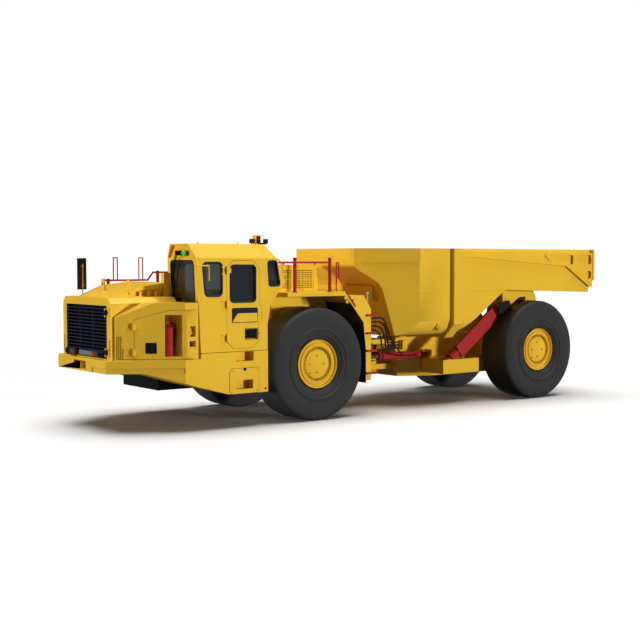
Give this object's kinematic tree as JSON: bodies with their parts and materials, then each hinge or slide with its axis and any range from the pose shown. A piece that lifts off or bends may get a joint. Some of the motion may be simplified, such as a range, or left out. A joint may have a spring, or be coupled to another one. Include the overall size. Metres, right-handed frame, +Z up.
{
  "type": "articulated underground mining dump truck",
  "caption": "Low articulated dump truck for mines: front cab beside a hood, centre hitch, smooth tyres and a tilting bed raised by side rams.",
  "frame": {"origin": "on the floor under the middle of the truck's overall box", "axes": "+X towards the nose, +Y to the truck's left, +Z up"},
  "size_m": [11.17, 3.2, 3.2499],
  "materials": {
    "yellow": "satin paint",
    "red": "satin paint",
    "tyre": "matt rubber",
    "grille": "satin black",
    "iron": "cast",
    "glass": "dark tint",
    "chrome": "hard chrome",
    "lamp_red": "clear red lens",
    "rubber": "matt rubber",
    "seat_fabric": "woven"
  },
  "bodies": {
    "front_frame": {"front_chassis": "yellow", "front_axle": "yellow", "nose_deck": "yellow", "pod_l": "yellow", "pod_r": "yellow", "hood": "yellow", "lifting_eyes": "yellow", "engine_block": "iron", "side_box_l": "yellow", "side_box_r": "yellow", "mid_housing": "yellow", "cab_shell": "yellow", "cab_glass": "glass", "seat": "seat_fabric", "fender_l": "yellow", "fender_r": "yellow", "fender_flaps": "rubber", "step_rungs": "red", "handrails": "red", "guard_box": "yellow", "grab_rails": "yellow", "roof_lamps": "grille", "beacon": "lamp_red"},
    "rear_frame": {"rear_frame": "yellow", "rear_axle": "yellow"},
    "bed": {"bed": "yellow"},
    "cab_door": {"cab_door": "yellow", "cab_door_glass": "glass"},
    "service_door": {"service_door": "yellow", "extinguisher": "red"},
    "grille_door": {"grille_door": "grille", "grille_lamps": "grille"},
    "wheel_fl": {"tyre_fl": "tyre", "rim_fl": "yellow"},
    "wheel_fr": {"tyre_fr": "tyre", "rim_fr": "yellow"},
    "wheel_rl": {"tyre_rl": "tyre", "rim_rl": "yellow"},
    "wheel_rr": {"tyre_rr": "tyre", "rim_rr": "yellow"},
    "hoist_barrel_l": {"hoist_barrel_l": "red"},
    "hoist_rod_l": {"hoist_rod_l": "chrome"},
    "steer_barrel_l": {"steer_barrel_l": "red"},
    "steer_rod_l": {"steer_rod_l": "chrome"},
    "hoist_barrel_r": {"hoist_barrel_r": "red"},
    "hoist_rod_r": {"hoist_rod_r": "chrome"},
    "steer_barrel_r": {"steer_barrel_r": "red"},
    "steer_rod_r": {"steer_rod_r": "chrome"}
  },
  "joints": [
    {"name": "articulation", "type": "hinge", "parent": "front_frame", "child": "rear_frame", "pos_m": [-0.515, 0, 0.95], "axis": [0, 0, 1], "range_deg": [-42, 42]},
    {"name": "bed_tilt", "type": "hinge", "parent": "rear_frame", "child": "bed", "pos_m": [-4.7, 0, 2], "axis": [0, -1, 0], "range_deg": [0, 67]},
    {"name": "spin_fl", "type": "hinge", "parent": "front_frame", "child": "wheel_fl", "pos_m": [1.785, 1.198, 1], "axis": [0, 1, 0], "continuous": true},
    {"name": "spin_fr", "type": "hinge", "parent": "front_frame", "child": "wheel_fr", "pos_m": [1.785, -1.198, 1], "axis": [0, 1, 0], "continuous": true},
    {"name": "spin_rl", "type": "hinge", "parent": "rear_frame", "child": "wheel_rl", "pos_m": [-3.885, 1.198, 1], "axis": [0, 1, 0], "continuous": true},
    {"name": "spin_rr", "type": "hinge", "parent": "rear_frame", "child": "wheel_rr", "pos_m": [-3.885, -1.198, 1], "axis": [0, 1, 0], "continuous": true},
    {"name": "cab_door_hinge", "type": "hinge", "parent": "front_frame", "child": "cab_door", "pos_m": [3.69, 1.549, 2.08], "axis": [0, 0, -1], "range_deg": [0, 90]},
    {"name": "service_door_hinge", "type": "hinge", "parent": "front_frame", "child": "service_door", "pos_m": [5.19104, 1.116, 1.6], "axis": [0, 0, -1], "range_deg": [0, 100]},
    {"name": "grille_door_hinge", "type": "hinge", "parent": "front_frame", "child": "grille_door", "pos_m": [5.509, 0.759, 1.65], "axis": [0, 0, 1], "range_deg": [0, 110]},
    {"name": "hoist_swing_l", "type": "hinge", "parent": "rear_frame", "child": "hoist_barrel_l", "pos_m": [-1.705, 1.08, 0.821], "axis": [0, 1, 0], "range_deg": [0, 9.5]},
    {"name": "hoist_slide_l", "type": "slide", "parent": "hoist_barrel_l", "child": "hoist_rod_l", "axis": [-0.8054, 0, 0.5928], "range_m": [0, 1.515]},
    {"name": "steer_swing_l", "type": "hinge", "parent": "rear_frame", "child": "steer_barrel_l", "pos_m": [-1.607, 0.52, 0.95], "axis": [0, 0, 1], "range_deg": [-13.9, 13.9]},
    {"name": "steer_slide_l", "type": "slide", "parent": "steer_barrel_l", "child": "steer_rod_l", "axis": [0.9983, -0.059, 0], "range_m": [-0.328, 0.328]},
    {"name": "hoist_swing_r", "type": "hinge", "parent": "rear_frame", "child": "hoist_barrel_r", "pos_m": [-1.705, -1.08, 0.821], "axis": [0, 1, 0], "range_deg": [0, 9.5]},
    {"name": "hoist_slide_r", "type": "slide", "parent": "hoist_barrel_r", "child": "hoist_rod_r", "axis": [-0.8054, 0, 0.5928], "range_m": [0, 1.515]},
    {"name": "steer_swing_r", "type": "hinge", "parent": "rear_frame", "child": "steer_barrel_r", "pos_m": [-1.607, -0.52, 0.95], "axis": [0, 0, 1], "range_deg": [-13.9, 13.9]},
    {"name": "steer_slide_r", "type": "slide", "parent": "steer_barrel_r", "child": "steer_rod_r", "axis": [0.9983, 0.059, 0], "range_m": [-0.328, 0.328]}
  ],
  "couplings": [
    {"joint": "hoist_swing_l", "follows": "bed_tilt", "ratio": 0.13737},
    {"joint": "hoist_slide_l", "follows": "bed_tilt", "m_per_rad": 1.287},
    {"joint": "steer_swing_l", "follows": "articulation", "ratio": -0.32474},
    {"joint": "steer_slide_l", "follows": "articulation", "m_per_rad": 0.44104},
    {"joint": "hoist_swing_r", "follows": "bed_tilt", "ratio": 0.13737},
    {"joint": "hoist_slide_r", "follows": "bed_tilt", "m_per_rad": 1.287},
    {"joint": "steer_swing_r", "follows": "articulation", "ratio": -0.32474},
    {"joint": "steer_slide_r", "follows": "articulation", "m_per_rad": -0.44104}
  ]
}
